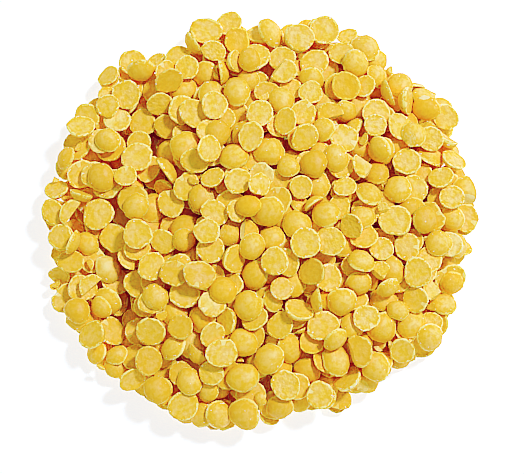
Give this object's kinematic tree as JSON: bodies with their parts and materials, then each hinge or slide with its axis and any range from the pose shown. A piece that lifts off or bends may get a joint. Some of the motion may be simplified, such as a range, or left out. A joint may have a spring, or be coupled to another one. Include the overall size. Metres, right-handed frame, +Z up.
{
  "type": "heap of yellow split peas",
  "caption": "Low round heap of dried yellow split peas lying loose on a flat surface, some with the flat side up and some with the dome up.",
  "frame": {"origin": "on the surface that the heap lies on, below the middle of its outline", "axes": "+Z up out of the heap's top, +X to the right and +Y away from the viewer as the heap is seen from the front"},
  "size_m": [0.0957, 0.092, 0.0179],
  "materials": {
    "split_pea": "satin"
  },
  "bodies": {
    "root": {"split_pea_heap": "split_pea"}
  },
  "joints": []
}
